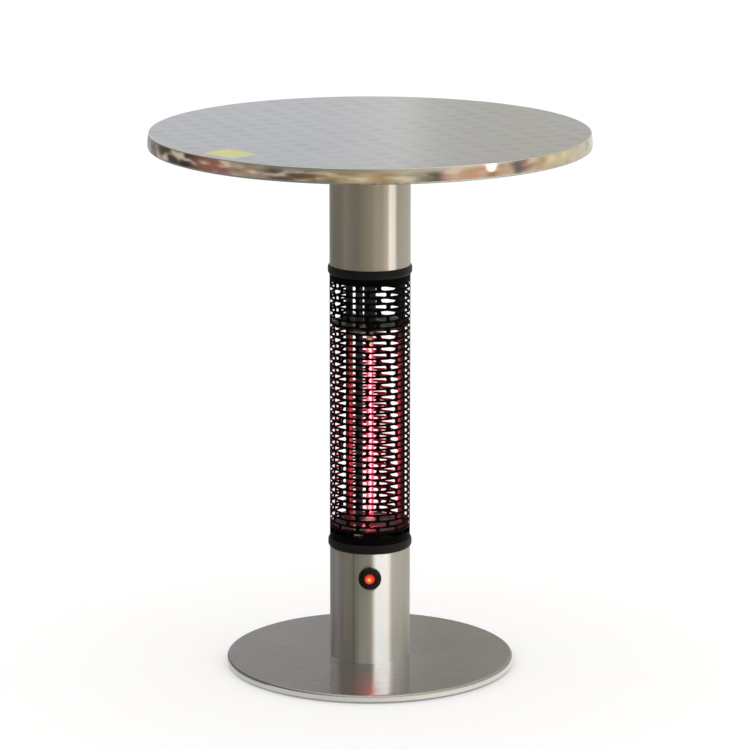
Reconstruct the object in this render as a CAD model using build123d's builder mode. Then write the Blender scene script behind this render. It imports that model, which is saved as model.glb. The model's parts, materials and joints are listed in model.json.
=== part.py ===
from build123d import *
import os

# A round bistro table whose column holds an infrared lamp behind a perforated grille.
# Millimetres, +Z up. The origin is on the floor at the column's axis; the switch faces -Y.

# --- table ---------------------------------------------------------------------
table_radius = 300.0
table_height = 745.3
rim_height = 20.9
skin_sheet = 0.8
rim_lip_radius = 284.0
core_radius = 296.6
core_thickness = 19.2
mount_plate_radius = 100.0
mount_skirt = 18.0
rod_pocket_radius = 10.5
table_screw_circle = 82.0
table_screw_count = 6
label_length = 58.0
label_width = 45.0
label_sheet = 0.15
label_corner = 3.0
label_centre = (-182.0, -184.0)
label_turn = -46.0

# --- column --------------------------------------------------------------------
column_radius = 55.1
tube_wall = 1.2
grille_wall = 1.0
ring_radius = 57.5
ring_height = 12.0
ring_bore = 50.0
groove_depth = 4.5
lower_ring_z = 168.0
upper_ring_z = 550.5
end_play = 0.2

# --- base ----------------------------------------------------------------------
base_radius = 197.9
base_top = 12.0
base_sheet = 1.0
skirt_bottom = 3.0
base_round = 3.5
foot_height = 4.0
foot_radius = 14.0
foot_circle = 168.0
foot_count = 6
bolt_circle = 36.0
bolt_radius = 3.9
bolt_hole = 4.2
bolt_head_radius = 8.0
foot_screw_hole = 2.1

# --- tie rods and the decks that they carry ---------------------------------------
rod_radius = 5.0
rod_circle = 43.8
rod_angle = -109.5
rod_count = 3
rod_bottom = 13.0
nut_flats = 16.0
nut_height = 5.0
flange_height = 12.0
deck_radius = 52.5
deck_sheet = 2.0
lower_deck_z = 198.0
upper_deck_z = 479.0
shield_z = 615.0
shield_sheet = 1.2

# --- grille: a front and a back half of slotted sheet, joined by plain side strips -----
# The slots stand in rows that alternate by half a step; the back rows lie between the front ones.
slot_length = 23.9
slot_height = 5.4
slot_step = 29.6
slot_rows = 42
row_pitch = 8.42
front_top_row_z = 538.3
back_top_row_z = front_top_row_z + row_pitch / 2
front_row_angle = -93.5
back_row_angle = 76.0
side_strip = 8.0

# --- infrared lamp --------------------------------------------------------------
quartz_radius = 5.0
quartz_wall = 1.0
cap_radius = 6.6
cap_length = 28.0
socket_depth = 14.0
lower_cap_z = 180.0
upper_cap_z = 471.0
holder_radius = 8.0
holder_wall = 1.0
holder_flange = 15.0
holder_flange_sheet = 1.2
lower_holder_z = 178.0
upper_holder_top = 567.0
holder_screw_x = 11.5
coil_radius = 2.3
coil_wire = 0.9
coil_pitch = 7.0
coil_bottom = 214.0
coil_top = 459.0

# --- push switch, on an axis along Y ----------------------------------------------
switch_z = 134.6
bezel_radius = 15.7
bezel_front = -63.1
barrel_radius = 8.0
barrel_bore = 6.0
barrel_back = -34.0
well_radius = 7.5
well_floor = -57.0
button_radius = 7.2
button_front = -62.3
button_back = -59.6
stem_radius = 3.3
stem_bore = 2.4
stem_back = -46.3
block_front = -47.0
block_back = -22.0
blade_back = -14.0
blade_x = 4.5
spring_radius = 4.7
spring_wire = 0.35

# --- cable gland, on an axis along Y ------------------------------------------------
gland_z = 45.0
gland_barrel = 8.0
gland_bore = 5.0
gland_flats = 24.0
cord_hole = 4.0

# --- chassis plate, tip-over switch and terminal block --------------------------------
plate_front = 6.0
plate_sheet = 1.5
plate_left = -34.0
plate_right = 33.0
plate_top = 118.0
plate_hole = 1.6
plate_foot_places = [(-12, 15), (16, 15)]
tilt_width = 38.0
tilt_bottom = 30.0
tilt_top = 72.0
tilt_front = -10.0
tilt_wall = 1.5
pivot_z = 63.0
pivot_radius = 1.5
bob_drop = 17.0
bob_radius = 8.0
block_width = 30.0
block_bottom = 84.0
block_top = 102.0
block_face = -8.0
way_pitch = 10.0
way_y = -1.0
wire_radius = 1.4

# --- fits and worked-out heights ---------------------------------------------------
fit_gap = 0.1
tube_bore = column_radius - tube_wall
rim_bottom = table_height - rim_height
core_bottom = table_height - skin_sheet - core_thickness
core_hole_depth = 15.5
mount_plate = 4.0
mount_plate_z = core_bottom - mount_plate
rod_top = core_bottom + 6.5
flange_top = base_top + flange_height
weight_top = base_top - base_sheet
upper_tube_z = upper_ring_z + ring_height - groove_depth + end_play
lower_tube_top = lower_ring_z + groove_depth - end_play
grille_z = lower_ring_z + ring_height - groove_depth + end_play
grille_top = upper_ring_z + groove_depth - end_play
upper_deck_top = upper_deck_z + deck_sheet
lower_deck_top = lower_deck_z + deck_sheet
lead_hole = 2.2
lead_x = -11.0
lead_y = -31.1
cutout_x = 18.0
cutout_y = 18.0
cutout_z = 188.0
cutout_radius = 8.0
tab_bottom = 182.5


def rods():
    """Places of the three tie rods around the column's axis."""
    return PolarLocations(rod_circle, rod_count, start_angle=rod_angle)


def across_y(y, z):
    """A plane that faces the back, +Y, with local y straight up."""
    return Plane(origin=(0, y, z), x_dir=(-1, 0, 0), z_dir=(0, 1, 0))


def side_view(z):
    """A plane to draw half sections for turned parts on an axis along Y at height z."""
    return Plane(origin=(0, 0, z), x_dir=(0, 1, 0), z_dir=(1, 0, 0))


def y_axis(z):
    return Axis((0, 0, z), (0, 1, 0))


# === table =========================================================================
with BuildPart() as table_top_skin:
    with BuildSketch(Plane.XZ):
        with BuildLine():
            flat = Line((0, table_height), (table_radius - 2.9, table_height))
            edge = ThreePointArc(flat @ 1, (table_radius - 1.95, table_height - 0.35),
                                 (table_radius - 1.5, table_height - 1.3))
            bulge = ThreePointArc(edge @ 1, (table_radius - 0.4, table_height - 9.5),
                                  (table_radius, rim_bottom + 3.0))
            curl = ThreePointArc(bulge @ 1, (table_radius - 0.9, rim_bottom + 0.9),
                                 (table_radius - 3.0, rim_bottom))
            Line(curl @ 1, (rim_lip_radius, rim_bottom))
            offset(amount=skin_sheet, side=Side.RIGHT)
        make_face()
    revolve(axis=Axis.Z)
    with BuildSketch(Plane.XY.offset(table_height)):
        with Locations(label_centre):
            RectangleRounded(label_length + 2 * fit_gap, label_width + 2 * fit_gap, label_corner,
                             rotation=label_turn)
    extrude(amount=-label_sheet, mode=Mode.SUBTRACT)

with BuildPart() as table_core:
    with BuildSketch(Plane.XY.offset(core_bottom)):
        Circle(core_radius)
    extrude(amount=core_thickness)
    chamfer(table_core.edges().filter_by(GeomType.CIRCLE), 1.5)
    with BuildSketch(Plane.XY.offset(core_bottom)):
        with rods():
            Circle(rod_pocket_radius)
    extrude(amount=8.0, mode=Mode.SUBTRACT)
    with BuildSketch(Plane.XY.offset(core_bottom)):
        with PolarLocations(table_screw_circle, table_screw_count):
            Circle(2.1)
    extrude(amount=core_hole_depth, mode=Mode.SUBTRACT)

with BuildPart() as top_flange:
    with BuildSketch(Plane.XY.offset(mount_plate_z)):
        Circle(mount_plate_radius)
    extrude(amount=mount_plate)
    chamfer(top_flange.edges().filter_by(GeomType.CIRCLE), 0.8)
    with BuildSketch(Plane.XY.offset(mount_plate_z)):
        Circle(tube_bore - 0.4)
        Circle(ring_bore, mode=Mode.SUBTRACT)
    extrude(amount=-mount_skirt)
    with BuildSketch(Plane.XY.offset(mount_plate_z)):
        with rods():
            Circle(rod_radius + fit_gap)
        with PolarLocations(table_screw_circle, table_screw_count):
            Circle(2.2)
    extrude(amount=mount_plate, mode=Mode.SUBTRACT)

with BuildPart() as table_screws:
    with BuildSketch(Plane.XY.offset(mount_plate_z - 2.8)):
        with PolarLocations(table_screw_circle, table_screw_count):
            Circle(4.5)
    extrude(amount=2.8)
    fillet(table_screws.edges().group_by(Axis.Z)[0], 1.4)
    with BuildSketch(Plane.XY.offset(mount_plate_z)):
        with PolarLocations(table_screw_circle, table_screw_count):
            Circle(2.0)
    extrude(amount=18.0)

with BuildPart() as blank_label:
    with BuildSketch(Plane.XY.offset(table_height)):
        with Locations(label_centre):
            RectangleRounded(label_length, label_width, label_corner, rotation=label_turn)
    extrude(amount=-label_sheet)

# === column =========================================================================
with BuildPart() as upper_tube:
    with BuildSketch(Plane.XY.offset(upper_tube_z)):
        Circle(column_radius)
        Circle(tube_bore, mode=Mode.SUBTRACT)
    extrude(amount=mount_plate_z - upper_tube_z)

with BuildPart() as lower_tube:
    with BuildSketch(Plane.XY.offset(base_top)):
        Circle(column_radius)
        Circle(tube_bore, mode=Mode.SUBTRACT)
    extrude(amount=lower_tube_top - base_top)
    with BuildSketch(across_y(-column_radius - 5.0, switch_z)):
        Circle(barrel_radius + 0.2)
    extrude(amount=20.0, mode=Mode.SUBTRACT)
    with BuildSketch(across_y(column_radius - 10.0, gland_z)):
        Circle(gland_barrel + 0.2)
    extrude(amount=20.0, mode=Mode.SUBTRACT)


def ring_section(bottom):
    """Half section of a joint ring: a bulged wall, a web, and a groove above and below."""
    top = bottom + ring_height
    middle = bottom + ring_height / 2
    with BuildLine() as outline:
        inner = Line((ring_bore, bottom + 1.0), (ring_bore, top - 1.0))
        Line(inner @ 1, (ring_bore + 1.0, top))
        Line((ring_bore + 1.0, top), (column_radius + 0.5, top))
        upper = ThreePointArc((column_radius + 0.5, top), (ring_radius - 0.55, top - 1.6),
                              (ring_radius, middle + 1.5))
        wall = Line(upper @ 1, (ring_radius, middle - 1.5))
        ThreePointArc(wall @ 1, (ring_radius - 0.55, bottom + 1.6), (column_radius + 0.5, bottom))
        Line((column_radius + 0.5, bottom), (ring_bore + 1.0, bottom))
        Line((ring_bore + 1.0, bottom), inner @ 0)
    make_face(outline.edges())
    for groove_z in (bottom + groove_depth / 2, top - groove_depth / 2):
        with Locations((column_radius - 0.65, groove_z)):
            Rectangle(1.7, groove_depth, mode=Mode.SUBTRACT)


with BuildPart() as upper_ring:
    with BuildSketch(Plane.XZ):
        ring_section(upper_ring_z)
    revolve(axis=Axis.Z)

with BuildPart() as lower_ring:
    with BuildSketch(Plane.XZ):
        ring_section(lower_ring_z)
    revolve(axis=Axis.Z)

def slot_places(first_row_z, first_angle):
    """Places around one half of the grille, counted out from the slot nearest its middle."""
    places = []
    for row in range(slot_rows):
        for step in range(-3, 4):
            angle = first_angle + (step + row % 2 / 2) * slot_step
            places.append(Location((0, 0, first_row_z - row * row_pitch), (0, 0, angle)))
    return places


def grille_half(way, first_row_z, first_angle):
    """Half of the slotted sheet on the front, way -1, or the back, way 1, of the side strips."""
    with BuildPart() as half:
        with BuildSketch(Plane.XY.offset(grille_z)):
            Circle(column_radius)
            Circle(column_radius - grille_wall, mode=Mode.SUBTRACT)
            with Locations((0, way * (side_strip / 2 + column_radius))):
                Rectangle(2.5 * column_radius, 2 * column_radius, mode=Mode.INTERSECT)
        extrude(amount=grille_top - grille_z)
        with Locations(slot_places(first_row_z, first_angle)):
            add(slot_punch.part, mode=Mode.SUBTRACT)
    return half.part


with BuildPart() as slot_punch:
    with BuildSketch(Plane.YZ.offset(column_radius - 4.0)):
        SlotOverall(slot_length, slot_height)
    extrude(amount=8.0)

with BuildPart() as grille:
    add(grille_half(-1, front_top_row_z, front_row_angle))
    add(grille_half(1, back_top_row_z, back_row_angle))
    with BuildSketch(Plane.XY.offset(grille_z)):
        Circle(column_radius)
        Circle(column_radius - grille_wall, mode=Mode.SUBTRACT)
        Rectangle(2.5 * column_radius, side_strip, mode=Mode.INTERSECT)
    extrude(amount=grille_top - grille_z)

# === base ===========================================================================
with BuildPart() as base_cover:
    with BuildSketch(Plane.XZ):
        with BuildLine():
            plate_line = Line((0, base_top), (base_radius - base_round, base_top))
            rounding = RadiusArc(plate_line @ 1, (base_radius, base_top - base_round), base_round)
            Line(rounding @ 1, (base_radius, skirt_bottom))
            offset(amount=base_sheet, side=Side.RIGHT)
        make_face()
    revolve(axis=Axis.Z)
    with BuildSketch(Plane.XY.offset(weight_top)):
        with PolarLocations(bolt_circle, rod_count, start_angle=rod_angle + 60.0):
            Circle(bolt_hole)
    extrude(amount=base_sheet, mode=Mode.SUBTRACT)

with BuildPart() as base_weight:
    with BuildSketch(Plane.XY.offset(foot_height)):
        Circle(base_radius - 2.5)
    extrude(amount=weight_top - foot_height)
    chamfer(base_weight.edges().group_by(Axis.Z)[-1], 2.0)
    chamfer(base_weight.edges().group_by(Axis.Z)[0], 1.0)
    with Locations(Plane.XY.offset(foot_height).rotated((180, 0, 0))):
        with PolarLocations(bolt_circle, rod_count, start_angle=-rod_angle - 60.0):
            CounterSinkHole(radius=bolt_hole, counter_sink_radius=bolt_head_radius + 0.3,
                            counter_sink_angle=90)
        with PolarLocations(foot_circle, foot_count):
            Hole(radius=foot_screw_hole)

with BuildPart() as base_bolts:
    with BuildSketch(Plane.XY.offset(foot_height + 0.1)):
        with PolarLocations(bolt_circle, rod_count, start_angle=rod_angle + 60.0):
            Circle(bolt_head_radius)
    extrude(amount=bolt_head_radius - bolt_radius, taper=45)
    with BuildSketch(Plane.XY.offset(foot_height + 4.1)):
        with PolarLocations(bolt_circle, rod_count, start_angle=rod_angle + 60.0):
            Circle(bolt_radius)
    extrude(amount=14.0)

with BuildPart() as base_feet:
    with BuildSketch(Plane.XY):
        with PolarLocations(foot_circle, foot_count):
            Circle(foot_radius)
    extrude(amount=foot_height)
    chamfer(base_feet.edges().group_by(Axis.Z)[0], 1.0)
    with PolarLocations(foot_circle, foot_count):
        with Locations((0, 0, foot_height)):
            Hole(radius=foot_screw_hole)
    with BuildSketch(Plane.XY):
        with PolarLocations(foot_circle, foot_count):
            Circle(5.5)
    extrude(amount=2.2, mode=Mode.SUBTRACT)

with BuildPart() as foot_screws:
    with BuildSketch(Plane.XY.offset(0.8)):
        with PolarLocations(foot_circle, foot_count):
            Circle(4.5)
    extrude(amount=1.4)
    with BuildSketch(Plane.XY.offset(2.2)):
        with PolarLocations(foot_circle, foot_count):
            Circle(2.0)
    extrude(amount=8.4)

with BuildPart() as base_flange:
    with BuildSketch(Plane.XY.offset(base_top)):
        Circle(tube_bore - 0.5)
        Circle(12.0, mode=Mode.SUBTRACT)
    extrude(amount=flange_height)
    chamfer(base_flange.edges().group_by(Axis.Z)[-1], 1.0)
    with BuildSketch(Plane.XY.offset(rod_bottom)):
        with rods():
            Circle(rod_radius + fit_gap)
    extrude(amount=flange_height, mode=Mode.SUBTRACT)
    with BuildSketch(Plane.XY.offset(base_top)):
        with PolarLocations(bolt_circle, rod_count, start_angle=rod_angle + 60.0):
            Circle(4.0)
    extrude(amount=11.0, mode=Mode.SUBTRACT)
    with BuildSketch(Plane.XY.offset(flange_top)):
        with Locations(plate_foot_places):
            Circle(2.05)
    extrude(amount=-10.0, mode=Mode.SUBTRACT)

# === tie rods, nuts, decks and heat shield ============================================
with BuildPart() as tie_rods:
    with BuildSketch(Plane.XY.offset(rod_bottom)):
        with rods():
            Circle(rod_radius)
    extrude(amount=rod_top - rod_bottom)
    chamfer(tie_rods.edges().filter_by(GeomType.CIRCLE), 0.8)

nut_levels = [
    flange_top,
    lower_deck_z - nut_height,
    lower_deck_top,
    upper_deck_z - nut_height,
    upper_deck_top,
    shield_z - nut_height,
    shield_z + shield_sheet,
    core_bottom,
]

with BuildPart() as rod_nuts:
    for level in nut_levels:
        with BuildSketch(Plane.XY.offset(level)):
            with rods():
                RegularPolygon(nut_flats / 2, 6, major_radius=False, rotation=30)
                Circle(rod_radius + fit_gap, mode=Mode.SUBTRACT)
        extrude(amount=nut_height)


def deck(z, sheet, centre_hole):
    """A round plate that the tie rods pass through."""
    with BuildSketch(Plane.XY.offset(z)) as outline:
        Circle(deck_radius)
        with rods():
            Circle(rod_radius + fit_gap, mode=Mode.SUBTRACT)
        if centre_hole:
            Circle(centre_hole, mode=Mode.SUBTRACT)
            with Locations((lead_x, lead_y)):
                Circle(lead_hole, mode=Mode.SUBTRACT)
            with Locations((-holder_screw_x, 0), (holder_screw_x, 0)):
                Circle(1.5, mode=Mode.SUBTRACT)
    extrude(outline.sketch, amount=sheet)


with BuildPart() as lower_deck:
    deck(lower_deck_z, deck_sheet, cap_radius + 0.4)

with BuildPart() as upper_deck:
    deck(upper_deck_z, deck_sheet, cap_radius + 0.4)

with BuildPart() as heat_shield:
    deck(shield_z, shield_sheet, 0)

# === lamp ===========================================================================
lamp_middle = (lower_cap_z + cap_length - socket_depth + upper_cap_z + socket_depth) / 2
quartz_length = upper_cap_z + socket_depth - (lower_cap_z + cap_length - socket_depth) - 0.4
quartz_z = lamp_middle - quartz_length / 2
coil_gap = coil_wire + 1.2

with BuildPart() as quartz_tube:
    with BuildSketch(Plane.XY.offset(quartz_z)):
        Circle(quartz_radius)
        Circle(quartz_radius - quartz_wall, mode=Mode.SUBTRACT)
    extrude(amount=quartz_length)

with BuildPart() as filament:
    with BuildLine():
        winding = Helix(coil_pitch, coil_top - coil_bottom, coil_radius, center=(0, 0, coil_bottom))
    with BuildSketch(Plane(origin=winding @ 0, z_dir=winding % 0)):
        Circle(coil_wire)
    sweep(is_frenet=True)

with BuildPart() as filament_leads:
    for end, coil_end, way in ((quartz_z, coil_bottom - coil_gap, 1),
                               (quartz_z + quartz_length, coil_top + coil_gap, -1)):
        with BuildSketch(Plane.XY.offset(end)):
            Circle(0.7)
        extrude(amount=coil_end - end)
        with BuildSketch(Plane.XY.offset(coil_end)):
            Circle(quartz_radius - quartz_wall - 0.4)
        extrude(amount=way * 1.0)

with BuildPart() as lamp_end_caps:
    with BuildSketch(Plane.XY.offset(lower_cap_z)):
        Circle(cap_radius)
    extrude(amount=cap_length)
    with BuildSketch(Plane.XY.offset(upper_cap_z)):
        Circle(cap_radius)
    extrude(amount=cap_length)
    chamfer(lamp_end_caps.edges().filter_by(GeomType.CIRCLE), 0.6)
    with BuildSketch(Plane.XY.offset(lower_cap_z + cap_length)):
        Circle(quartz_radius + fit_gap)
    extrude(amount=-socket_depth, mode=Mode.SUBTRACT)
    with BuildSketch(Plane.XY.offset(upper_cap_z)):
        Circle(quartz_radius + fit_gap)
    extrude(amount=socket_depth, mode=Mode.SUBTRACT)


def holder(flange_z, sleeve_end, floor_sheet):
    """A flanged sleeve around an end cap, closed but for a hole for the lead."""
    way = 1 if sleeve_end > flange_z else -1
    with BuildSketch(Plane.XY.offset(flange_z)) as foot:
        Circle(holder_flange)
        with Locations((-holder_screw_x, 0), (holder_screw_x, 0)):
            Circle(1.5, mode=Mode.SUBTRACT)
    extrude(foot.sketch, amount=way * holder_flange_sheet)
    with BuildSketch(Plane.XY.offset(flange_z)) as sleeve:
        Circle(holder_radius)
    extrude(sleeve.sketch, amount=sleeve_end - flange_z)
    with BuildSketch(Plane.XY.offset(flange_z)) as bore:
        Circle(holder_radius - holder_wall)
    extrude(bore.sketch, amount=sleeve_end - flange_z - way * floor_sheet, mode=Mode.SUBTRACT)
    with BuildSketch(Plane.XY.offset(sleeve_end)) as lead_way:
        Circle(3.0)
    extrude(lead_way.sketch, amount=-way * floor_sheet, mode=Mode.SUBTRACT)


with BuildPart() as upper_lamp_holder:
    holder(upper_deck_top, upper_holder_top, 1.5)

with BuildPart() as lower_lamp_holder:
    holder(lower_deck_z, lower_holder_z, 1.5)

with BuildPart() as holder_screws:
    for seat, way in ((upper_deck_top + holder_flange_sheet, 1), (lower_deck_z - holder_flange_sheet, -1)):
        with BuildSketch(Plane.XY.offset(seat)):
            with Locations((-holder_screw_x, 0), (holder_screw_x, 0)):
                Circle(2.6)
        extrude(amount=way * 2.0)
        with BuildSketch(Plane.XY.offset(seat)):
            with Locations((-holder_screw_x, 0), (holder_screw_x, 0)):
                Circle(1.4)
        extrude(amount=-way * 7.0)

with BuildPart() as thermal_cutout:
    with BuildSketch(Plane.XY.offset(cutout_z)):
        with Locations((cutout_x, cutout_y)):
            Circle(cutout_radius)
    extrude(amount=lower_deck_z - cutout_z)
    chamfer(thermal_cutout.edges().group_by(Axis.Z)[0], 1.0)

with BuildPart() as cutout_tabs:
    with BuildSketch(Plane.XY.offset(tab_bottom)):
        with Locations((cutout_x - blade_x, cutout_y), (cutout_x + blade_x, cutout_y)):
            Rectangle(0.8, 6.3)
    extrude(amount=cutout_z - tab_bottom)

# === push switch =====================================================================
with BuildPart() as switch_housing:
    with BuildSketch(side_view(switch_z)):
        with BuildLine():
            Line((well_floor, barrel_bore), (well_floor, well_radius))
            Line((well_floor, well_radius), (bezel_front + 0.6, well_radius))
            lip = ThreePointArc((bezel_front + 0.6, well_radius), (bezel_front + 0.2, well_radius + 0.35),
                                (bezel_front, well_radius + 1.0))
            dome = ThreePointArc(lip @ 1, (bezel_front + 0.9, bezel_radius - 3.4),
                                 (bezel_front + 3.6, bezel_radius))
            Line(dome @ 1, (-48.0, bezel_radius))
            Line((-48.0, bezel_radius), (-48.0, barrel_bore))
            Line((-48.0, barrel_bore), (well_floor, barrel_bore))
        make_face()
    revolve(axis=y_axis(switch_z))
    with BuildSketch(Plane.XY.offset(switch_z - 20.0)):
        Circle(column_radius + fit_gap)
    extrude(amount=40.0, mode=Mode.SUBTRACT)
    with BuildSketch(across_y(well_floor + 1.0, switch_z)):
        Circle(barrel_radius)
        Circle(barrel_bore, mode=Mode.SUBTRACT)
    extrude(amount=barrel_back - well_floor - 1.0)

with BuildPart() as switch_nut:
    with BuildSketch(across_y(-51.5, switch_z)):
        RegularPolygon(11.0, 6, major_radius=False)
        Circle(barrel_radius + fit_gap, mode=Mode.SUBTRACT)
    extrude(amount=4.0)

with BuildPart() as switch_block:
    with BuildSketch(across_y(block_front, switch_z)):
        Circle(barrel_bore - fit_gap)
    extrude(amount=barrel_back - block_front)
    with BuildSketch(across_y(barrel_back, switch_z)):
        Circle(barrel_radius)
    extrude(amount=block_back - barrel_back)
    fillet(switch_block.edges().group_by(Axis.Y)[-1], 0.8)
    with BuildSketch(across_y(block_front, switch_z)):
        Circle(stem_radius + fit_gap)
    extrude(amount=4.0, mode=Mode.SUBTRACT)

with BuildPart() as switch_blades:
    with BuildSketch(across_y(block_back, switch_z)):
        with Locations((-blade_x, 0), (blade_x, 0)):
            Rectangle(0.8, 6.3)
    extrude(amount=blade_back - block_back)

with BuildPart() as switch_button:
    with BuildSketch(side_view(switch_z)):
        with BuildLine():
            face = ThreePointArc((button_front, 0), (button_front + 0.35, button_radius * 0.6),
                                 (button_front + 1.2, button_radius))
            Line(face @ 1, (button_back, button_radius))
            Line((button_back, button_radius), (button_back, stem_radius))
            Line((button_back, stem_radius), (stem_back, stem_radius))
            Line((stem_back, stem_radius), (stem_back, stem_bore))
            Line((stem_back, stem_bore), (button_front + 1.5, stem_bore))
            Line((button_front + 1.5, stem_bore), (button_front + 1.5, 0))
            Line((button_front + 1.5, 0), (button_front, 0))
        make_face()
    revolve(axis=y_axis(switch_z))

with BuildPart() as switch_spring:
    with BuildLine():
        spring_line = Helix(2.4, block_front - button_back - 0.8, spring_radius,
                            center=(0, block_front - 0.4, switch_z), direction=(0, -1, 0))
    with BuildSketch(Plane(origin=spring_line @ 0, z_dir=spring_line % 0)):
        Circle(spring_wire)
    sweep(is_frenet=True)

with BuildPart() as indicator_lamp:
    with BuildSketch(across_y(block_front + 4.0, switch_z)):
        Circle(2.0)
    extrude(amount=-14.9)
    fillet(indicator_lamp.edges().group_by(Axis.Y)[0], 1.5)

# === cable gland =====================================================================
with BuildPart() as gland_washer:
    with BuildSketch(across_y(48.0, gland_z)):
        Circle(13.0)
        Circle(gland_barrel + 0.3, mode=Mode.SUBTRACT)
    extrude(amount=9.4)
    with BuildSketch(Plane.XY.offset(gland_z - 15.0)):
        Circle(column_radius + fit_gap)
    extrude(amount=30.0, mode=Mode.SUBTRACT)

with BuildPart() as gland_body:
    with BuildSketch(across_y(45.0, gland_z)):
        Circle(gland_barrel)
    extrude(amount=28.0)
    with BuildSketch(across_y(57.4, gland_z)):
        RegularPolygon(gland_flats / 2, 6, major_radius=False)
    extrude(amount=6.0)
    with BuildSketch(across_y(45.0, gland_z)):
        Circle(gland_bore)
    extrude(amount=28.0, mode=Mode.SUBTRACT)

with BuildPart() as gland_lock_nut:
    with BuildSketch(across_y(47.4, gland_z)):
        RegularPolygon(gland_flats / 2, 6, major_radius=False)
        Circle(gland_barrel + fit_gap, mode=Mode.SUBTRACT)
    extrude(amount=4.0)

with BuildPart() as gland_cap:
    with BuildSketch(side_view(gland_z)):
        with BuildLine():
            Polyline((63.5, gland_barrel + fit_gap), (63.5, 12.0), (75.0, 12.0), (82.5, 8.2), (84.0, 6.6),
                     (84.0, cord_hole + 0.6), (82.2, cord_hole + 0.6), (82.2, 6.8),
                     (73.5, gland_barrel + fit_gap), close=True)
        make_face()
    revolve(axis=y_axis(gland_z))

with BuildPart() as gland_seal:
    with BuildSketch(side_view(gland_z)):
        with BuildLine():
            Polyline((73.3, cord_hole), (73.3, 7.4), (81.9, 6.4), (81.9, cord_hole), close=True)
        make_face()
    revolve(axis=y_axis(gland_z))

# === chassis plate with the tip-over switch and the terminal block =====================
tilt_screw_places = [(-15.5, 33.5), (15.5, 68.5)]
block_middle = (block_bottom + block_top) / 2
block_screw_places = [(-way_pitch / 2, block_middle), (way_pitch / 2, block_middle)]


def facing_back(places):
    """Places given as (x, z), for a sketch on a plane from across_y(y, 0)."""
    return Locations([(-x, z) for x, z in places])


with BuildPart() as chassis_plate:
    with BuildSketch(across_y(plate_front, 0)):
        with Locations((-(plate_left + plate_right) / 2, (flange_top + plate_top) / 2)):
            RectangleRounded(plate_right - plate_left, plate_top - flange_top, 3.0)
        with facing_back(tilt_screw_places + block_screw_places):
            Circle(plate_hole, mode=Mode.SUBTRACT)
    extrude(amount=plate_sheet)
    with BuildSketch(Plane.XY.offset(flange_top)):
        with Locations((1.0, (plate_front + 22.0) / 2)):
            Rectangle(42.0, 22.0 - plate_front)
        with Locations(plate_foot_places):
            Circle(2.2, mode=Mode.SUBTRACT)
    extrude(amount=plate_sheet)

with BuildPart() as chassis_screws:
    with BuildSketch(Plane.XY.offset(flange_top + plate_sheet)):
        with Locations(plate_foot_places):
            Circle(3.6)
    extrude(amount=2.4)
    fillet(chassis_screws.edges().group_by(Axis.Z)[-1], 1.0)
    with BuildSketch(Plane.XY.offset(flange_top + plate_sheet)):
        with Locations(plate_foot_places):
            Circle(1.95)
    extrude(amount=-10.5)

with BuildPart() as tilt_housing:
    with BuildSketch(across_y(tilt_front, 0)):
        with Locations((0, (tilt_bottom + tilt_top) / 2)):
            RectangleRounded(tilt_width, tilt_top - tilt_bottom, 2.0)
    extrude(amount=plate_front - tilt_front)
    with BuildSketch(across_y(tilt_front, 0)):
        with Locations((0, (tilt_bottom + tilt_top) / 2)):
            Rectangle(tilt_width - 2 * tilt_wall, tilt_top - tilt_bottom - 2 * tilt_wall)
    extrude(amount=plate_front - tilt_front - 2.0, mode=Mode.SUBTRACT)
    with BuildSketch(across_y(tilt_front, 0)):
        with facing_back(tilt_screw_places):
            Circle(plate_hole)
        with Locations((0, pivot_z)):
            Circle(pivot_radius + 0.05)
    extrude(amount=plate_front - tilt_front, mode=Mode.SUBTRACT)

with BuildPart() as tilt_cover:
    with BuildSketch(across_y(tilt_front - tilt_wall, 0)):
        with Locations((0, (tilt_bottom + tilt_top) / 2)):
            RectangleRounded(tilt_width, tilt_top - tilt_bottom, 2.0)
        with facing_back(tilt_screw_places):
            Circle(plate_hole, mode=Mode.SUBTRACT)
        with Locations((0, pivot_z)):
            Circle(pivot_radius + 0.05, mode=Mode.SUBTRACT)
    extrude(amount=tilt_wall)

with BuildPart() as tilt_pin:
    with BuildSketch(across_y(tilt_front - tilt_wall - 1.0, pivot_z)):
        Circle(pivot_radius)
    extrude(amount=plate_front - tilt_front + tilt_wall + 0.8)

with BuildPart() as tilt_pendulum:
    with BuildSketch(across_y(-7.0, pivot_z - bob_drop)):
        Circle(bob_radius)
    extrude(amount=8.0)
    chamfer(tilt_pendulum.edges().filter_by(GeomType.CIRCLE), 0.8)
    with BuildSketch(across_y(-5.0, pivot_z - bob_drop / 2)):
        Rectangle(4.0, bob_drop)
    extrude(amount=4.0)
    with BuildSketch(across_y(-6.0, pivot_z)):
        Circle(4.0)
    extrude(amount=6.0)
    with BuildSketch(across_y(-6.0, pivot_z)):
        Circle(pivot_radius + 0.05)
    extrude(amount=6.0, mode=Mode.SUBTRACT)

with BuildPart() as tilt_microswitch:
    with BuildSketch(Plane.XY.offset(tilt_bottom + tilt_wall)):
        with Locations((0, -3.0)):
            Rectangle(13.0, 6.0)
    extrude(amount=4.0)
    chamfer(tilt_microswitch.edges().filter_by(Axis.Z), 0.6)
    with BuildSketch(Plane.XY.offset(tilt_bottom + tilt_wall + 4.0)):
        with Locations((0, -3.0)):
            Circle(1.2)
    extrude(amount=1.2)

with BuildPart() as m3_screws:
    for seat, places in ((tilt_front - tilt_wall, tilt_screw_places), (block_face, block_screw_places)):
        with BuildSketch(across_y(seat, 0)):
            with facing_back(places):
                Circle(2.8)
        extrude(amount=-2.0)
        with BuildSketch(across_y(seat, 0)):
            with facing_back(places):
                Circle(1.45)
        extrude(amount=20.0)

ways = [-way_pitch, 0.0, way_pitch]
way_screw_places = [(x, z) for x in ways for z in (block_middle - 4.0, block_middle + 4.0)]

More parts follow.
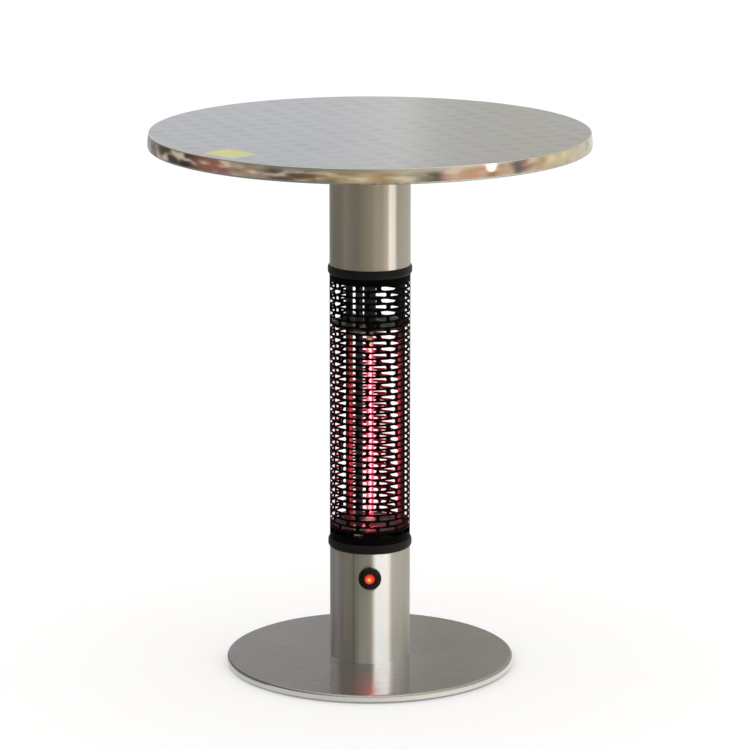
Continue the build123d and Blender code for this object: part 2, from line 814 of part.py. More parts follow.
with BuildPart() as terminal_block:
    with BuildSketch(across_y(block_face, 0)):
        with Locations((0, block_middle)):
            RectangleRounded(block_width, block_top - block_bottom, 1.0)
    extrude(amount=plate_front - block_face)
    with BuildSketch(across_y(block_face, 0)):
        with facing_back(block_screw_places):
            Circle(plate_hole)
    extrude(amount=plate_front - block_face, mode=Mode.SUBTRACT)
    with BuildSketch(across_y(block_face, 0)):
        with facing_back(way_screw_places):
            Circle(1.9)
    extrude(amount=5.0, mode=Mode.SUBTRACT)
    for end_z, way in ((block_top, -1), (block_bottom, 1)):
        with BuildSketch(Plane.XY.offset(end_z)):
            with Locations([(x, way_y) for x in ways]):
                Circle(wire_radius + 0.2)
        extrude(amount=way * 6.0, mode=Mode.SUBTRACT)

with BuildPart() as terminal_screws:
    with BuildSketch(across_y(block_face + 5.0, 0)):
        with facing_back(way_screw_places):
            Circle(1.75)
    extrude(amount=-3.0)
    with BuildSketch(across_y(block_face + 2.0, 0)):
        with facing_back(way_screw_places):
            Rectangle(4.0, 0.6)
    extrude(amount=0.8, mode=Mode.SUBTRACT)


# === internal leads, bent from straight runs and tangent arcs ===========================
def lead(points, radii):
    """One insulated wire of constant section along its route."""
    with BuildLine() as line:
        route = FilletPolyline(*points, radius=radii)
    with BuildSketch(Plane(origin=route @ 0, z_dir=route % 0)) as section:
        Circle(wire_radius)
    sweep(section.sketch, path=line.wires()[0])


well_bottom = block_top - 6.0

with BuildPart() as lamp_return_lead:
    lead([(0, 0, upper_cap_z + cap_length), (0, 0, 596), (lead_x, lead_y, 596), (lead_x, lead_y, 160),
          (cutout_x - blade_x, cutout_y, 160), (cutout_x - blade_x, cutout_y, tab_bottom)],
         [14.0, 14.0, 14.0, 10.0])

with BuildPart() as lamp_feed_lead:
    lead([(0, 0, lower_cap_z), (0, 0, 162), (-way_pitch, way_y, 140), (-way_pitch, way_y, well_bottom)],
         [14.0, 14.0])

with BuildPart() as switch_feed_lead:
    lead([(blade_x, blade_back, switch_z), (blade_x, -3, switch_z), (way_pitch, way_y, 116),
          (way_pitch, way_y, well_bottom)], [7.0, 12.0])

with BuildPart() as switch_return_lead:
    lead([(-blade_x, blade_back, switch_z), (-blade_x, -3, switch_z), (0, way_y, 116),
          (0, way_y, well_bottom)], [7.0, 12.0])

# === one STEP file for each piece ======================================================
pieces = {
    "table_top_skin": table_top_skin,
    "table_core": table_core,
    "blank_label": blank_label,
    "top_flange": top_flange,
    "table_screws": table_screws,
    "upper_tube": upper_tube,
    "upper_ring": upper_ring,
    "grille": grille,
    "lower_ring": lower_ring,
    "lower_tube": lower_tube,
    "base_flange": base_flange,
    "base_cover": base_cover,
    "base_weight": base_weight,
    "base_bolts": base_bolts,
    "base_feet": base_feet,
    "foot_screws": foot_screws,
    "tie_rods": tie_rods,
    "rod_nuts": rod_nuts,
    "upper_deck": upper_deck,
    "lower_deck": lower_deck,
    "heat_shield": heat_shield,
    "quartz_tube": quartz_tube,
    "filament": filament,
    "filament_leads": filament_leads,
    "lamp_end_caps": lamp_end_caps,
    "upper_lamp_holder": upper_lamp_holder,
    "lower_lamp_holder": lower_lamp_holder,
    "holder_screws": holder_screws,
    "thermal_cutout": thermal_cutout,
    "cutout_tabs": cutout_tabs,
    "switch_housing": switch_housing,
    "switch_nut": switch_nut,
    "switch_block": switch_block,
    "switch_blades": switch_blades,
    "switch_button": switch_button,
    "switch_spring": switch_spring,
    "indicator_lamp": indicator_lamp,
    "gland_washer": gland_washer,
    "gland_body": gland_body,
    "gland_lock_nut": gland_lock_nut,
    "gland_cap": gland_cap,
    "gland_seal": gland_seal,
    "chassis_plate": chassis_plate,
    "chassis_screws": chassis_screws,
    "tilt_housing": tilt_housing,
    "tilt_cover": tilt_cover,
    "tilt_pin": tilt_pin,
    "tilt_pendulum": tilt_pendulum,
    "tilt_microswitch": tilt_microswitch,
    "m3_screws": m3_screws,
    "terminal_block": terminal_block,
    "terminal_screws": terminal_screws,
    "lamp_return_lead": lamp_return_lead,
    "lamp_feed_lead": lamp_feed_lead,
    "switch_feed_lead": switch_feed_lead,
    "switch_return_lead": switch_return_lead,
}

os.makedirs("parts", exist_ok=True)
for name, piece in pieces.items():
    piece.part.label = name
    export_step(piece.part, f"parts/{name}.step")
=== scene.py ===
import json
import math

import bpy
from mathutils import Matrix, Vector


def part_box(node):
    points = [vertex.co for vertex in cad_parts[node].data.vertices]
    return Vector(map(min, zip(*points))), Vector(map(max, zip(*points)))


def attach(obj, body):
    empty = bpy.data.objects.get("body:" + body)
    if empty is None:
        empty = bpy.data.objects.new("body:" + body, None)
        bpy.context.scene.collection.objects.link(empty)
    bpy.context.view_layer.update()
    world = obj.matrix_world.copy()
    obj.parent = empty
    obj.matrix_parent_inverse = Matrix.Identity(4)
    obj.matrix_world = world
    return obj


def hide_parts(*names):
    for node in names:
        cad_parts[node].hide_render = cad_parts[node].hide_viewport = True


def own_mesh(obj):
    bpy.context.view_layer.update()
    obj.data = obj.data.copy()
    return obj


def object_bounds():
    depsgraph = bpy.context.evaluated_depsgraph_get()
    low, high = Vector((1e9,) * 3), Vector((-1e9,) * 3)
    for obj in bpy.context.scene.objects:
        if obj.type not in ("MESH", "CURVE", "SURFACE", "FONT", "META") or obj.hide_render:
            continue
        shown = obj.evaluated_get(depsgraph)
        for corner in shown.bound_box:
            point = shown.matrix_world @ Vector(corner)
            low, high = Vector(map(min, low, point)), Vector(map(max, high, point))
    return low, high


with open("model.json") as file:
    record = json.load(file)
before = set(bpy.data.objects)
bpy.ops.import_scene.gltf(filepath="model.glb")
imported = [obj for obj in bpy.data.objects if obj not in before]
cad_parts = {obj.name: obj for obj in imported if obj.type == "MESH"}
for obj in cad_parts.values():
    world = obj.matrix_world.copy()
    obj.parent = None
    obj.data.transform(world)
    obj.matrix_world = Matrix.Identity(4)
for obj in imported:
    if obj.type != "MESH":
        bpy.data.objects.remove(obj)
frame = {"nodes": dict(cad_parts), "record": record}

cad_low, cad_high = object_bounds()
nodes = frame["nodes"]
record = frame["record"]
scene = bpy.context.scene
MM = 0.001


# --- node materials -------------------------------------------------------------
# The part of 0 to 1 that a noise keeps to for nearly all of a surface.
NOISE_LOW = 0.3
NOISE_HIGH = 0.7


class Shader:
    """A node tree being built, with short calls for the nodes that feed its surface."""

    def __init__(self, tree):
        self.tree = tree

    def feed(self, socket, value):
        if isinstance(value, bpy.types.NodeSocket):
            self.tree.links.new(value, socket)
        else:
            socket.default_value = value

    def node(self, kind, inputs, **settings):
        made = self.tree.nodes.new("ShaderNode" + kind)
        for name, value in settings.items():
            setattr(made, name, value)
        for name, value in inputs.items():
            self.feed(made.inputs[name], value)
        return made

    def math(self, operation, *values):
        return self.node("Math", dict(enumerate(values)), operation=operation).outputs[0]

    def vector(self, x, y, z):
        return self.node("CombineXYZ", {0: x, 1: y, 2: z}).outputs[0]

    def axes(self, vector):
        return self.node("SeparateXYZ", {0: vector}).outputs

    def span(self, value, low, high, to_low=0.0, to_high=1.0, smooth=False):
        """value from low..high to to_low..to_high, clamped."""
        inputs = {"Value": value, "From Min": low, "From Max": high, "To Min": to_low, "To Max": to_high}
        kind = "SMOOTHSTEP" if smooth else "LINEAR"
        return self.node("MapRange", inputs, interpolation_type=kind).outputs["Result"]

    def mix(self, share, first, second):
        """Two colours, mixed by share."""
        made = self.node("Mix", {}, data_type="RGBA")
        self.feed(made.inputs["Factor"], share)
        for socket, value in ((made.inputs[6], first), (made.inputs[7], second)):
            self.feed(socket, value if isinstance(value, bpy.types.NodeSocket) else (*value, 1.0))
        return made.outputs[2]

    def spread(self, noise, to_low=0.0, to_high=1.0):
        """The range that a noise mostly keeps to, spread over to_low..to_high."""
        return self.span(noise, NOISE_LOW, NOISE_HIGH, to_low, to_high)

    def distance(self, a, b):
        """The length of a vector with the two parts a and b."""
        return self.math("SQRT", self.math("ADD", self.math("MULTIPLY", a, a), self.math("MULTIPLY", b, b)))

    def ramp(self, value, stops):
        """A colour ramp from a list of (place, colour)."""
        made = self.node("ValToRGB", {"Fac": value})
        elements = made.color_ramp.elements
        while len(elements) < len(stops):
            elements.new(1.0)
        for element, (place, colour) in zip(elements, stops):
            element.position = place
            element.color = (*colour, 1.0)
        return made.outputs["Color"]

    def noise(self, vector, scale, detail=3.0, roughness=0.5):
        inputs = {"Vector": vector, "Scale": scale, "Detail": detail, "Roughness": roughness}
        return self.node("TexNoise", inputs).outputs[0]


class Finish(Shader):
    """A material with one Principled surface. Its coordinates are the object's own, in metres.

    The colour and the sockets given at the start are plain values, which nodes may replace.
    """

    def __init__(self, name, colour, **sockets):
        self.material = bpy.data.materials.new(name)
        self.material.use_nodes = True
        super().__init__(self.material.node_tree)
        self.surface = self.tree.nodes["Principled BSDF"]
        self.set("Base Color", (*colour, 1.0))
        for name, value in sockets.items():
            self.set(name.replace("_", " "), value)

    def set(self, name, value):
        self.feed(self.surface.inputs[name], value)

    def place(self, stretch=(1.0, 1.0, 1.0)):
        """Object coordinates, with each axis scaled."""
        coordinates = self.node("TexCoord", {}).outputs["Object"]
        return self.node("Mapping", {"Vector": coordinates, "Scale": stretch}).outputs[0]

    def bump(self, height, distance, strength):
        inputs = {"Height": height, "Distance": distance, "Strength": strength}
        self.set("Normal", self.node("Bump", inputs).outputs[0])

    def stretch_highlights(self, direction):
        """Highlights drawn out along one direction, which lies across the grooves of a brushed sheet."""
        self.set("Tangent", self.vector(*direction))


GROOVE_NOISE = (0.25, 0.75)

# The weld: its turn from the front, and how far from there, in radians, it begins and is at its full.
SEAM_TURN = math.radians(-24.0)
SEAM_EDGES = (0.035, 0.005)
SEAM_TOP = 210.0 * MM
SEAM_FADE = 10.0 * MM
SEAM_STRENGTH = 0.45


def grained_tube():
    """Stainless tube with fine grooves around it and a weld low down on the left of the switch.

    The grooves draw reflections out up and down.
    """
    made = Finish("brushed_steel_finish", (0.62, 0.61, 0.585), Metallic=1.0, Roughness=0.34, Anisotropic=1.0)
    grooves = made.noise(made.place((6.0, 6.0, 900.0)), 1.0, 4.0, 0.6)
    smudges = made.noise(made.place((9.0, 9.0, 3.0)), 1.0, 2.0)
    steel = made.mix(made.spread(smudges), (0.60, 0.59, 0.565), (0.64, 0.63, 0.605))
    made.set("Roughness", made.span(grooves, *GROOVE_NOISE, 0.30, 0.38))
    made.bump(grooves, distance=0.02 * MM, strength=0.35)
    made.stretch_highlights((0.0, 0.0, 1.0))
    x, y, z = made.axes(made.place())
    turn = made.math("ARCTAN2", x, made.math("MULTIPLY", y, -1.0))
    from_seam = made.math("ABSOLUTE", made.math("SUBTRACT", turn, SEAM_TURN))
    low_down = made.span(z, SEAM_TOP, SEAM_TOP - SEAM_FADE)
    seam = made.math("MULTIPLY", made.span(from_seam, *SEAM_EDGES, smooth=True), low_down)
    made.set("Base Color", made.mix(made.math("MULTIPLY", seam, SEAM_STRENGTH), steel, (0.25, 0.24, 0.22)))
    return made


def grained_plate():
    """Stainless sheet with a straight grain along X, which draws reflections out along Y."""
    made = Finish("satin_steel_finish", (0.50, 0.49, 0.465), Metallic=1.0, Roughness=0.27, Anisotropic=1.0)
    grain = made.noise(made.place((8.0, 2400.0, 2400.0)), 1.0, 2.0, 0.6)
    smudges = made.noise(made.place((7.0, 7.0, 7.0)), 1.0)
    made.set("Base Color", made.mix(made.spread(smudges), (0.44, 0.43, 0.415), (0.48, 0.47, 0.45)))
    made.set("Roughness", made.span(grain, *GROOVE_NOISE, 0.25, 0.29))
    made.bump(grain, distance=0.002 * MM, strength=0.1)
    made.stretch_highlights((0.0, 1.0, 0.0))
    return made


# The turned spots stand in a square grid. Their edges are shares of its pitch.
SPOT_PITCH = 35.0 * MM
SPOT_TURN = math.radians(23.9)
SPOT_PHASE = (9.8 * MM, 34.3 * MM)
SPOT_EDGES = (0.46, 0.20)
SPOT_RINGS = 150.0
SPOT_RELIEF = 0.006
RIM_START = 297.2 * MM
RIM_FADE = 0.6 * MM
RIM_ROUGHNESS = 0.09
RIM_RELIEF = 0.5


def spotted_top():
    """Stainless top with rows of faint turned spots, and a mirror-polished rim with shallow dents."""
    made = Finish("patterned_steel_finish", (0.72, 0.73, 0.75), Metallic=1.0, Roughness=0.3)
    x, y = made.axes(made.place())[:2]
    across, turn = math.cos(SPOT_TURN), math.sin(SPOT_TURN)
    along_rows = made.math("ADD", made.math("MULTIPLY", x, across), made.math("MULTIPLY", y, turn))
    over_rows = made.math("SUBTRACT", made.math("MULTIPLY", y, across), made.math("MULTIPLY", x, turn))
    cell = []
    for value, phase in zip((along_rows, over_rows), SPOT_PHASE):
        shifted = made.math("DIVIDE", made.math("SUBTRACT", value, phase), SPOT_PITCH)
        share = made.math("FLOORED_MODULO", made.math("ADD", shifted, 0.5), 1.0)
        cell.append(made.math("SUBTRACT", share, 0.5))
    from_spot = made.distance(*cell)
    spot = made.span(from_spot, *SPOT_EDGES, smooth=True)
    rings = made.math("SINE", made.math("MULTIPLY", from_spot, SPOT_RINGS))
    from_axis = made.distance(x, y)
    rim = made.span(from_axis, RIM_START, RIM_START + RIM_FADE)
    flat = made.math("SUBTRACT", 1.0, rim)
    clouds = made.noise(made.place((14.0, 14.0, 14.0)), 1.0)
    faint = made.math("MULTIPLY", spot, made.spread(clouds, 0.25, 1.0))
    flat_colour = made.mix(faint, (0.70, 0.71, 0.72), (0.625, 0.63, 0.645))
    made.set("Base Color", made.mix(rim, flat_colour, (0.80, 0.78, 0.73)))
    flat_roughness = made.math("MULTIPLY", made.span(faint, 0.0, 1.0, 0.28, 0.30), flat)
    made.set("Roughness", made.math("ADD", flat_roughness, made.math("MULTIPLY", rim, RIM_ROUGHNESS)))
    turned = made.math("MULTIPLY", made.math("MULTIPLY", rings, spot), SPOT_RELIEF)
    dents = made.math("MULTIPLY", made.noise(made.place((14.0, 14.0, 30.0)), 1.0, 0.0), RIM_RELIEF)
    height = made.math("ADD", made.math("MULTIPLY", turned, flat), made.math("MULTIPLY", rim, dents))
    made.bump(height, distance=0.6 * MM, strength=0.8)
    return made


def polished(name, colour, roughness):
    """Bare metal with faint wipe marks."""
    made = Finish(name, colour, Metallic=1.0, Roughness=roughness)
    wipes = made.noise(made.place((40.0, 40.0, 120.0)), 1.0, 4.0)
    made.set("Roughness", made.spread(wipes, 0.7 * roughness, 1.3 * roughness))
    made.bump(wipes, distance=0.05 * MM, strength=0.3)
    return made


# Noise scales, in lumps to the metre.
FINE_MOTTLE = 900.0
SOFT_CLOUDS = 30.0


def plated(name, colour, roughness):
    """Plated or drawn metal with a fine mottle."""
    made = Finish(name, colour, Metallic=1.0, Roughness=roughness)
    mottle = made.noise(made.place(), FINE_MOTTLE)
    darker = tuple(0.8 * c for c in colour)
    made.set("Base Color", made.mix(made.spread(mottle), darker, colour))
    made.set("Roughness", made.spread(mottle, 0.8 * roughness, 1.2 * roughness))
    made.bump(mottle, distance=0.03 * MM, strength=0.3)
    return made


def coated(name, colour, roughness, grain_size, grain_depth, gloss=0.5):
    """Paint, enamel, plastic, rubber or ceramic: a grain of one size with small changes of tone and gloss."""
    made = Finish(name, colour, Roughness=roughness, Specular_IOR_Level=gloss)
    grain = made.noise(made.place(), 1.0 / grain_size, 2.0)
    clouds = made.noise(made.place(), SOFT_CLOUDS, 2.0)
    lighter = tuple(1.25 * c for c in colour)
    darker = tuple(0.8 * c for c in colour)
    made.set("Base Color", made.mix(made.spread(clouds), darker, lighter))
    made.set("Roughness", made.spread(grain, 0.88 * roughness, 1.12 * roughness))
    made.bump(grain, distance=grain_depth, strength=0.5)
    return made


def fibre_board():
    """Raw board with short fibres that lie flat."""
    made = Finish("core_board_finish", (0.52, 0.40, 0.27), Roughness=0.85)
    fibres = made.noise(made.place((500.0, 500.0, 1600.0)), 1.0, 5.0, 0.7)
    browns = [(0.3, (0.38, 0.28, 0.18)), (0.5, (0.52, 0.40, 0.27)), (0.75, (0.66, 0.54, 0.39))]
    made.set("Base Color", made.ramp(fibres, browns))
    made.bump(fibres, distance=0.2 * MM, strength=0.6)
    return made


def label_film():
    """Blank yellow film with a satin face and faint creases."""
    made = Finish("label_film_finish", (0.66, 0.66, 0.24), Roughness=0.38)
    creases = made.noise(made.place((60.0, 140.0, 60.0)), 1.0)
    made.set("Base Color", made.mix(made.spread(creases), (0.60, 0.60, 0.20), (0.70, 0.70, 0.27)))
    made.bump(creases, distance=0.3 * MM, strength=0.4)
    return made


coil_low, coil_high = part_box("filament")
COOL_END = 24.0 * MM
COOLEST_END = 7.2 * MM


def heat_along(made):
    """0 at the cooler top of the lamp's coil, down to COOLEST_END, rising to 1 at COOL_END."""
    z = made.axes(made.place())[2]
    return made.span(z, coil_high.z - COOLEST_END, coil_high.z - COOL_END, smooth=True)


def quartz_glass():
    """Clear quartz, lit from within: light red where it is looked at squarely, deep red at its outline."""
    made = Finish("quartz_finish", (1.0, 0.5, 0.5), Roughness=0.05, IOR=1.45, Transmission_Weight=0.85)
    edge = made.node("LayerWeight", {"Blend": 0.45}).outputs["Facing"]
    heat = heat_along(made)
    lit = made.mix(made.span(edge, 0.15, 0.75), (0.95, 0.26, 0.34), (0.60, 0.01, 0.04))
    made.set("Base Color", made.mix(heat, (0.90, 0.86, 0.80), lit))
    made.set("Emission Color", (1.0, 0.025, 0.09, 1.0))
    unevenness = made.noise(made.place((8.0, 8.0, 60.0)), 1.0, 2.0)
    made.set("Emission Strength", made.math("MULTIPLY", heat, made.spread(unevenness, 0.5, 0.7)))
    return made


def hot_wire():
    """Resistance wire: amber at its cooler top end, pinkish white below."""
    made = Finish("glowing_wire_finish", (0.5, 0.3, 0.25), Roughness=0.6)
    heat = heat_along(made)
    made.set("Emission Color", made.mix(heat, (1.0, 0.36, 0.05), (1.0, 0.54, 0.54)))
    made.set("Emission Strength", made.span(heat, 0.0, 1.0, 1.6, 13.0))
    return made


GLOW_LEFT = 0.14
GLOW_DOWN = 0.10


def lit_lens():
    """Translucent red cap. The small lamp behind it shows as a yellow spot, left of and below the middle."""
    made = Finish("red_lens_finish", (0.55, 0.02, 0.01), Roughness=0.12, Coat_Weight=0.6, Coat_Roughness=0.05)
    low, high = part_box("switch_button")
    middle = (low + high) / 2
    radius = (high.z - low.z) / 2
    x, _, z = made.axes(made.place())
    dx = made.math("SUBTRACT", x, middle.x - GLOW_LEFT * radius)
    dz = made.math("SUBTRACT", z, middle.z - GLOW_DOWN * radius)
    away = made.math("DIVIDE", made.distance(dx, dz), radius)
    glow = [(0.0, (1.0, 0.62, 0.08)), (0.25, (1.0, 0.24, 0.02)), (0.5, (0.95, 0.03, 0.01)),
            (0.95, (0.35, 0.0, 0.004))]
    made.set("Emission Color", made.ramp(away, glow))
    made.set("Emission Strength", made.span(away, 0.0, 1.0, 2.2, 0.35))
    return made


def lit_neon():
    """The small lamp inside the switch, with an orange glow."""
    made = Finish("glowing_glass_finish", (1.0, 0.6, 0.3), Roughness=0.05, Transmission_Weight=0.7)
    made.set("Emission Color", (1.0, 0.42, 0.10, 1.0))
    glow = made.noise(made.place(), FINE_MOTTLE, 1.0)
    made.set("Emission Strength", made.spread(glow, 2.0, 4.0))
    return made


finishes = {
    "patterned_steel": spotted_top(),
    "brushed_steel": grained_tube(),
    "satin_steel": grained_plate(),
    # This polished sheet's colour is near black: painted shade of the dark inside of the grille, not the
    # sheet's own colour.
    "polished_steel": polished("polished_steel_painted_shade_finish", (0.035, 0.032, 0.032), 0.36),
    "zinc_steel": plated("zinc_steel_finish", (0.62, 0.63, 0.64), 0.36),
    "black_steel": coated("black_steel_finish", (0.022, 0.022, 0.022), 0.5, 0.6 * MM, 0.06 * MM),
    "black_enamel": coated("black_enamel_finish", (0.0016, 0.0014, 0.0014), 0.5, 0.9 * MM, 0.04 * MM, 0.03),
    "black_plastic": coated("black_plastic_finish", (0.007, 0.007, 0.007), 0.40, 0.5 * MM, 0.04 * MM, 0.18),
    "gloss_black": coated("gloss_black_finish", (0.003, 0.003, 0.003), 0.16, 1.5 * MM, 0.02 * MM, 0.3),
    "black_nylon": coated("black_nylon_finish", (0.022, 0.022, 0.023), 0.5, 0.4 * MM, 0.04 * MM),
    "white_nylon": coated("white_nylon_finish", (0.66, 0.65, 0.61), 0.45, 0.5 * MM, 0.04 * MM),
    "core_board": fibre_board(),
    "label_film": label_film(),
    "black_rubber": coated("black_rubber_finish", (0.018, 0.018, 0.018), 0.75, 0.5 * MM, 0.08 * MM),
    "quartz": quartz_glass(),
    "glowing_wire": hot_wire(),
    "nickel_wire": plated("nickel_wire_finish", (0.55, 0.53, 0.50), 0.3),
    "white_ceramic": coated("white_ceramic_finish", (0.72, 0.71, 0.67), 0.6, 0.4 * MM, 0.05 * MM),
    "brass": plated("brass_finish", (0.72, 0.52, 0.22), 0.3),
    "red_lens": lit_lens(),
    "spring_steel": plated("spring_steel_finish", (0.58, 0.58, 0.58), 0.25),
    "glowing_glass": lit_neon(),
    "silicone_sleeve": coated("silicone_sleeve_finish", (0.42, 0.035, 0.025), 0.55, 0.3 * MM, 0.03 * MM),
}
for subpart in record["subparts"]:
    nodes[subpart["node"]].material_slots[0].material = finishes[subpart["material_slot"]].material


# --- the lamp's wound wire ----------------------------------------------------------
TURN_PITCH = 1.9 * MM
WIRE_RADIUS = 0.42 * MM
COIL_RADIUS = 1.7 * MM
STEPS_PER_TURN = 14


def wound_wire(name, low, high):
    """A close helix of round wire about the column's axis, from the height of low to that of high."""
    turns = (high.z - low.z - 2 * WIRE_RADIUS) / TURN_PITCH
    count = int(turns * STEPS_PER_TURN)
    curve = bpy.data.curves.new(name, "CURVE")
    curve.dimensions = "3D"
    curve.bevel_depth = WIRE_RADIUS
    curve.bevel_resolution = 1
    curve.use_fill_caps = True
    spline = curve.splines.new("POLY")
    spline.points.add(count)
    for i, point in enumerate(spline.points):
        angle = 2 * math.pi * i / STEPS_PER_TURN
        z = low.z + WIRE_RADIUS + TURN_PITCH * i / STEPS_PER_TURN
        point.co = (COIL_RADIUS * math.cos(angle), COIL_RADIUS * math.sin(angle), z, 1.0)
    made = bpy.data.objects.new(name, curve)
    scene.collection.objects.link(made)
    made.data.materials.append(finishes["glowing_wire"].material)
    return made


heating_coil = wound_wire("heating_coil", coil_low, coil_high)
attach(heating_coil, "frame")
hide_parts("filament")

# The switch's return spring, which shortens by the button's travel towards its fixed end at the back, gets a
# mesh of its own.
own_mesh(nodes["switch_spring"])


# --- light --------------------------------------------------------------------------
def area_light(name, place, target, width, height, radiance, colour=(1.0, 1.0, 1.0), shape="RECTANGLE"):
    """A soft panel at place that faces target."""
    data = bpy.data.lights.new(name, "AREA")
    data.shape = shape
    data.size, data.size_y = width, height
    data.energy = radiance * math.pi * width * height
    data.color = colour
    made = bpy.data.objects.new(name, data)
    made.location = place
    made.rotation_mode = "QUATERNION"
    made.rotation_quaternion = (Vector(target) - Vector(place)).to_track_quat("-Z", "Y")
    made.visible_camera = False
    scene.collection.objects.link(made)
    return made


def around(azimuth, elevation, distance, centre):
    """A point seen from centre at an azimuth from -Y towards +X, and an elevation."""
    a, e = math.radians(azimuth), math.radians(elevation)
    offset = Vector((math.sin(a) * math.cos(e), -math.cos(a) * math.cos(e), math.sin(e)))
    return Vector(centre) + distance * offset


TABLE_TOP = Vector((0.0, 0.0, cad_high.z))
FOOT = Vector((0.0, 0.0, 0.1))

# A tall soft strip at the right, which makes the bright glint on the rim.
area_light("tall_strip", around(61, 9, 3.0, TABLE_TOP), TABLE_TOP, width=0.34, height=1.3, radiance=1.1,
           shape="ELLIPSE")

# Two cards behind the table, side by side, which the flat top mirrors.
left_card_place = TABLE_TOP + Vector((-0.68, 2.6, 0.62))
right_card_place = TABLE_TOP + Vector((0.75, 2.6, 0.62))
area_light("back_card_left", left_card_place, TABLE_TOP, width=1.6, height=0.85, radiance=0.46,
           colour=(0.97, 0.98, 1.0))
area_light("back_card_right", right_card_place, TABLE_TOP, width=1.5, height=0.85, radiance=0.28,
           colour=(1.04, 1.01, 0.90))


def only_on(name, lamps, pieces):
    """Keep the light of some lamps to some pieces."""
    group = bpy.data.collections.new(name)
    for piece in pieces:
        group.objects.link(nodes[piece])
    for lamp in lamps:
        lamp.light_linking.receiver_collection = group


# Panels that give the lower tube its upright bands: azimuth in degrees, width in metres, radiance.
FOOT_PANELS = ((37, 2.05, 12.0), (101, 1.7, 1.6), (-24, 1.5, 0.3), (-130, 1.5, 2.0))
foot_panels = []
for i, (azimuth, width, radiance) in enumerate(FOOT_PANELS):
    foot_panels.append(area_light(f"foot_panel_{i}", around(azimuth, 36, 2.6, FOOT), FOOT, width,
                                  height=0.9, radiance=radiance, colour=(0.96, 1.0, 1.05)))
only_on("foot_lit", foot_panels, ["lower_tube"])

# A low panel at the right for the upper tube.
neck_panel = area_light("neck_panel", around(65, -4, 2.6, TABLE_TOP), TABLE_TOP, width=1.15, height=1.0,
                        radiance=2.1, colour=(1.02, 0.99, 0.92))
only_on("neck_lit", [neck_panel], ["upper_tube"])

# A panel in front and the light of the floor, which the base's rounded edge mirrors.
edge_panel = area_light("edge_panel", around(0, 42, 2.6, FOOT), FOOT, width=3.2, height=1.0, radiance=1.3)
floor_sheen = area_light("floor_sheen", (0.0, 0.0, MM), TABLE_TOP, width=3.0, height=3.0, radiance=0.7,
                         shape="DISK")
only_on("edge_lit", [edge_panel, floor_sheen], ["base_cover"])

LAMP_LIGHTS = 8
LAMP_LIGHT_RADIUS = 4 * MM
LAMP_RED = (1.0, 0.02, 0.05)
HOT_LENGTH = coil_high.z - COOL_END - coil_low.z


def lamp_glow(name, watts, pieces):
    """Red points of light along the lamp, for some of the pieces around it."""
    made = []
    for i in range(LAMP_LIGHTS):
        data = bpy.data.lights.new(f"{name}_{i}", "POINT")
        data.energy = watts
        data.color = LAMP_RED
        data.shadow_soft_size = LAMP_LIGHT_RADIUS
        glow = bpy.data.objects.new(data.name, data)
        share = (i + 0.5) / LAMP_LIGHTS
        glow.location = (0.0, 0.0, coil_low.z + share * HOT_LENGTH)
        glow.visible_camera = False
        scene.collection.objects.link(glow)
        made.append(glow)
    only_on(name, made, pieces)


AROUND_LAMP = ["tie_rods", "rod_nuts", "lower_lamp_holder", "upper_lamp_holder", "lamp_end_caps",
               "lamp_return_lead"]
lamp_glow("rods_glow", 0.24, AROUND_LAMP)
lamp_glow("cage_glow", 1.2, ["grille"])

# The lamp's long red reflection on the base.
streak_place = Vector((0.0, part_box("grille")[0].y - 2 * MM, (coil_low.z + coil_high.z) / 2))
streak = area_light("streak", streak_place, streak_place - Vector((0.0, 1.0, 0.0)), width=7 * MM,
                    height=coil_high.z - coil_low.z, radiance=22.0, colour=(1.0, 0.02, 0.06))
only_on("streak_lit", [streak], ["base_cover"])

# The glass and the wire don't shade the lamp's lights, and matt pieces don't take the wire's own light.
for piece in (nodes["quartz_tube"], heating_coil):
    piece.visible_shadow = False
heating_coil.visible_diffuse = False


# --- surroundings ---------------------------------------------------------------------
# Colours of the room at each place round the horizon: 0 and 1 behind the table, 0.25 to its left, 0.5 in
# front of it and 0.75 to its right. The band is what stands along the horizon itself.
ROOM = [(0.0, (0.135, 0.135, 0.145)), (0.25, (0.11, 0.115, 0.10)), (0.40, (0.11, 0.115, 0.09)),
        (0.50, (0.16, 0.15, 0.12)), (0.53, (0.24, 0.225, 0.18)), (0.59, (0.30, 0.28, 0.225)),
        (0.65, (0.42, 0.395, 0.34)), (0.73, (0.36, 0.355, 0.31)), (0.77, (0.30, 0.31, 0.28)),
        (0.93, (0.29, 0.29, 0.28)), (1.0, (0.13, 0.125, 0.115))]
BAND = [(0.03, (0.25, 0.25, 0.25)), (0.13, (0.05, 0.04, 0.03)), (0.20, (0.02, 0.015, 0.013)),
        (0.24, (0.15, 0.06, 0.05)), (0.28, (0.15, 0.07, 0.055)), (0.30, (0.19, 0.14, 0.105)),
        (0.35, (0.17, 0.13, 0.10)), (0.36, (0.05, 0.04, 0.035)), (0.42, (0.09, 0.05, 0.035)),
        (0.44, (0.19, 0.15, 0.08)), (0.50, (0.25, 0.20, 0.12)), (0.52, (0.23, 0.145, 0.07)),
        (0.55, (0.27, 0.24, 0.17)), (0.596, (0.05, 0.045, 0.04)), (0.61, (0.31, 0.21, 0.155)),
        (0.66, (0.34, 0.19, 0.12)), (0.71, (0.30, 0.23, 0.165)), (0.722, (0.06, 0.065, 0.075)),
        (0.74, (0.21, 0.12, 0.09)), (0.785, (0.36, 0.29, 0.18)), (0.95, (0.33, 0.34, 0.30))]
BAND_BOTTOM = (-0.24, -0.18)
BAND_TOP = (0.10, 0.03)
OVERHEAD = (0.72, 0.92)
SHAPES_ROUND = 30.0
SHAPES_UP = 10.0
NEUTRAL = (0.5, 0.5, 0.5)


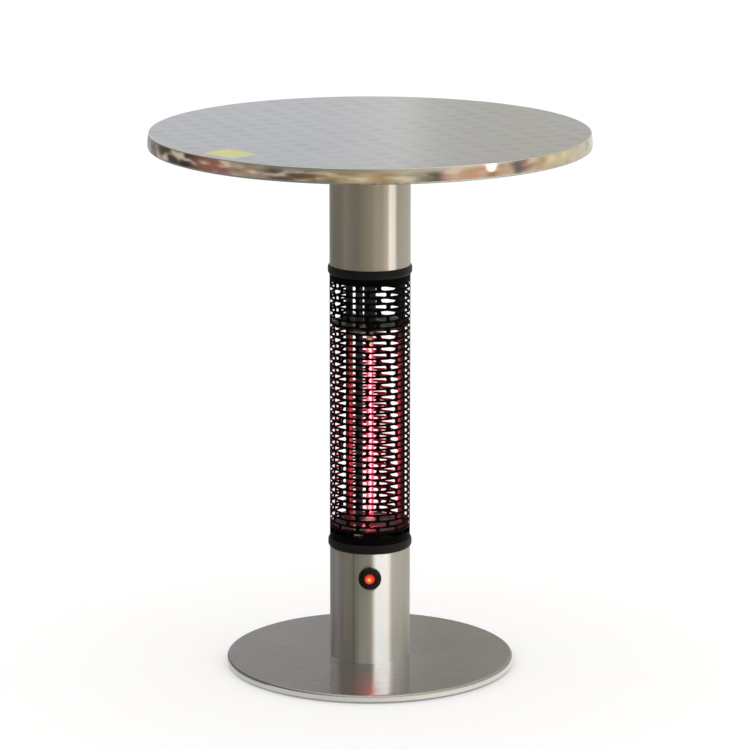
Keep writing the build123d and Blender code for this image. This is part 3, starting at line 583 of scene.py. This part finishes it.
def studio_world():
    """White to the eye and to matt surfaces; polished ones see a warm, dim room around the object."""
    world = bpy.data.worlds.new("studio")
    world.use_nodes = True
    world.cycles.sampling_method = "NONE"
    scene.world = world
    made = Shader(world.node_tree)
    made.tree.nodes.clear()
    direction = made.node("TexCoord", {}).outputs["Generated"]
    x, y, z = made.axes(direction)
    azimuth = made.math("ARCTAN2", x, made.math("MULTIPLY", y, -1.0))
    turn = made.span(azimuth, -math.pi, math.pi)
    room = made.ramp(turn, ROOM)
    band = made.ramp(turn, BAND)
    round_and_up = made.vector(made.math("MULTIPLY", turn, SHAPES_ROUND), 0.0,
                               made.math("MULTIPLY", z, SHAPES_UP))
    shapes = made.noise(round_and_up, 1.0, 1.0)
    bright = made.mix(made.span(shapes, 0.50, 0.72, 0.0, 0.65, smooth=True), band, (0.46, 0.42, 0.33))
    dark = made.mix(made.span(shapes, 0.46, 0.26, 0.0, 0.6, smooth=True), bright, (0.03, 0.025, 0.02))
    above_bottom = made.span(z, *BAND_BOTTOM, smooth=True)
    below_top = made.span(z, *BAND_TOP, smooth=True)
    around_object = made.mix(made.math("MULTIPLY", above_bottom, below_top), room, dark)
    seen = made.mix(made.span(z, *OVERHEAD, smooth=True), around_object, NEUTRAL)
    path = made.node("LightPath", {}).outputs
    colour = made.mix(path["Is Glossy Ray"], NEUTRAL, seen)
    background = made.node("Background", {"Color": colour, "Strength": 2.0})
    output = made.node("OutputWorld", {})
    made.feed(output.inputs["Surface"], background.outputs[0])


studio_world()


FLOOR_RADIUS = 14.0
FLOOR_CORNERS = 96


def pale_floor():
    """A wide round matt floor, level with the feet."""
    angles = [2 * math.pi * i / FLOOR_CORNERS for i in range(FLOOR_CORNERS)]
    corners = [(FLOOR_RADIUS * math.cos(angle), FLOOR_RADIUS * math.sin(angle), 0.0) for angle in angles]
    made = bpy.data.meshes.new("floor")
    made.from_pydata(corners, [], [tuple(range(FLOOR_CORNERS))])
    floor = bpy.data.objects.new("floor", made)
    floor.location.z = cad_low.z
    finish = Finish("floor_finish", (0.86, 0.86, 0.86), Roughness=0.9, Specular_IOR_Level=0.0,
                    Emission_Color=(1.0, 1.0, 1.0, 1.0), Emission_Strength=0.18)
    made.materials.append(finish.material)
    floor.visible_glossy = False
    scene.collection.objects.link(floor)


pale_floor()


# --- camera ----------------------------------------------------------------------------
CAMERA_PLACE = (0.0061, -5.1717, 1.6003)
CAMERA_PITCH = math.radians(12.99)
CAMERA_ROLL = math.radians(-0.036)
LENS = 186.4
SENSOR_WIDTH = 36.0
FAR_END = 100.0
camera_data = bpy.data.cameras.new("camera")
camera_data.lens = LENS
camera_data.sensor_width = SENSOR_WIDTH
camera_data.clip_end = FAR_END
camera = bpy.data.objects.new("camera", camera_data)
camera.location = CAMERA_PLACE
camera.rotation_euler = (math.pi / 2 - CAMERA_PITCH, CAMERA_ROLL, 0.0)
scene.collection.objects.link(camera)
scene.camera = camera
scene.view_settings.view_transform = "Standard"
